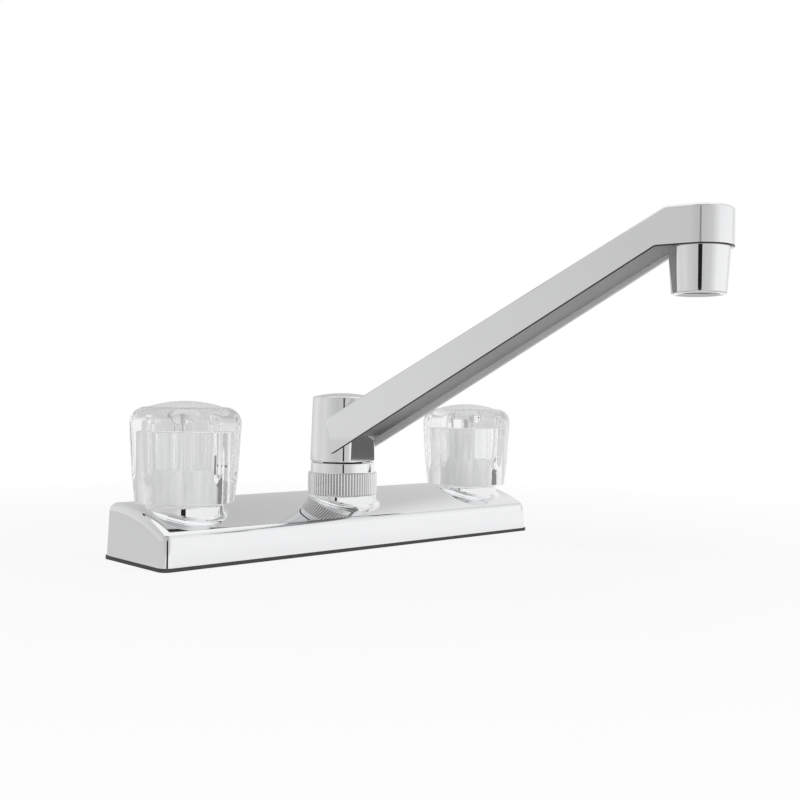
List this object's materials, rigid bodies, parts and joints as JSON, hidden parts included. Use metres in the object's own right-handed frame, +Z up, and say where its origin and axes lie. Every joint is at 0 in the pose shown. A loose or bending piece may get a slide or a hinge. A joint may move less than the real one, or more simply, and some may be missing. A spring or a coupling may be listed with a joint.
{
  "type": "kitchen faucet",
  "caption": "Deck-mounted kitchen faucet with a long sloping swivel spout, clear fluted knobs and a chromed deck cover.",
  "frame": {"origin": "where the spout's swivel axis meets the plane of the sink deck, on the underside of the gasket", "axes": "+Z up along the swivel axis, +X along the deck cover towards the cold handle, -Y to the front, over the sink"},
  "size_m": [0.2596, 0.2401, 0.2222],
  "materials": {
    "chrome_plate": "mirror-bright chrome plating over brass and die-cast zinc",
    "clear_acrylic": "clear polished acrylic",
    "white_core": "pale moulded nylon",
    "brass": "machined brass",
    "copper_tube": "drawn copper tube",
    "stainless_steel": "plain stainless steel",
    "ceramic": "lapped ceramic",
    "gasket_rubber": "dark grey moulded rubber",
    "seal_rubber": "black rubber",
    "nut_nylon": "white moulded nylon",
    "white_plastic": "off-white moulded acetal"
  },
  "bodies": {
    "deck_assembly": {"deck_gasket": "gasket_rubber", "deck_cover": "chrome_plate", "hot_valve_body": "brass", "cold_valve_body": "brass", "hot_cross_tube": "copper_tube", "cold_cross_tube": "copper_tube", "spout_post": "brass", "cover_nuts": "chrome_plate", "mounting_washers": "stainless_steel", "mounting_nuts": "nut_nylon", "hot_cartridge_sleeve": "white_plastic", "cold_cartridge_sleeve": "white_plastic", "hot_seat_seal": "seal_rubber", "cold_seat_seal": "seal_rubber", "hot_fixed_disc": "ceramic", "cold_fixed_disc": "ceramic", "hot_bonnet": "brass", "cold_bonnet": "brass", "bonnet_seals": "seal_rubber", "spout_bearing_ring": "white_plastic", "spout_nut": "chrome_plate"},
    "hot_handle": {"hot_knob": "clear_acrylic", "hot_knob_insert": "white_core", "hot_index_cap": "clear_acrylic", "hot_handle_screw": "stainless_steel", "hot_stem": "brass", "hot_stem_o_ring": "seal_rubber", "hot_rotor_disc": "ceramic"},
    "cold_handle": {"cold_knob": "clear_acrylic", "cold_knob_insert": "white_core", "cold_index_cap": "clear_acrylic", "cold_handle_screw": "stainless_steel", "cold_stem": "brass", "cold_stem_o_ring": "seal_rubber", "cold_rotor_disc": "ceramic"},
    "spout": {"spout_shell": "chrome_plate", "spout_floor_plate": "chrome_plate", "swivel_tube": "brass", "spout_o_rings": "seal_rubber", "spout_snap_ring": "stainless_steel", "outlet_nipple": "brass", "aerator_housing": "chrome_plate", "aerator_insert": "white_plastic", "aerator_screen": "stainless_steel", "aerator_washer": "seal_rubber"}
  },
  "joints": [
    {"name": "spout_swivel", "type": "hinge", "parent": "deck_assembly", "child": "spout", "pos_m": [0, 0, 0.045], "axis": [0, 0, 1], "continuous": true},
    {"name": "hot_handle_turn", "type": "hinge", "parent": "deck_assembly", "child": "hot_handle", "pos_m": [-0.1016, 0, 0.045], "axis": [0, 0, 1], "range_deg": [0, 90]},
    {"name": "cold_handle_turn", "type": "hinge", "parent": "deck_assembly", "child": "cold_handle", "pos_m": [0.1016, 0, 0.045], "axis": [0, 0, 1], "range_deg": [-90, 0]}
  ]
}
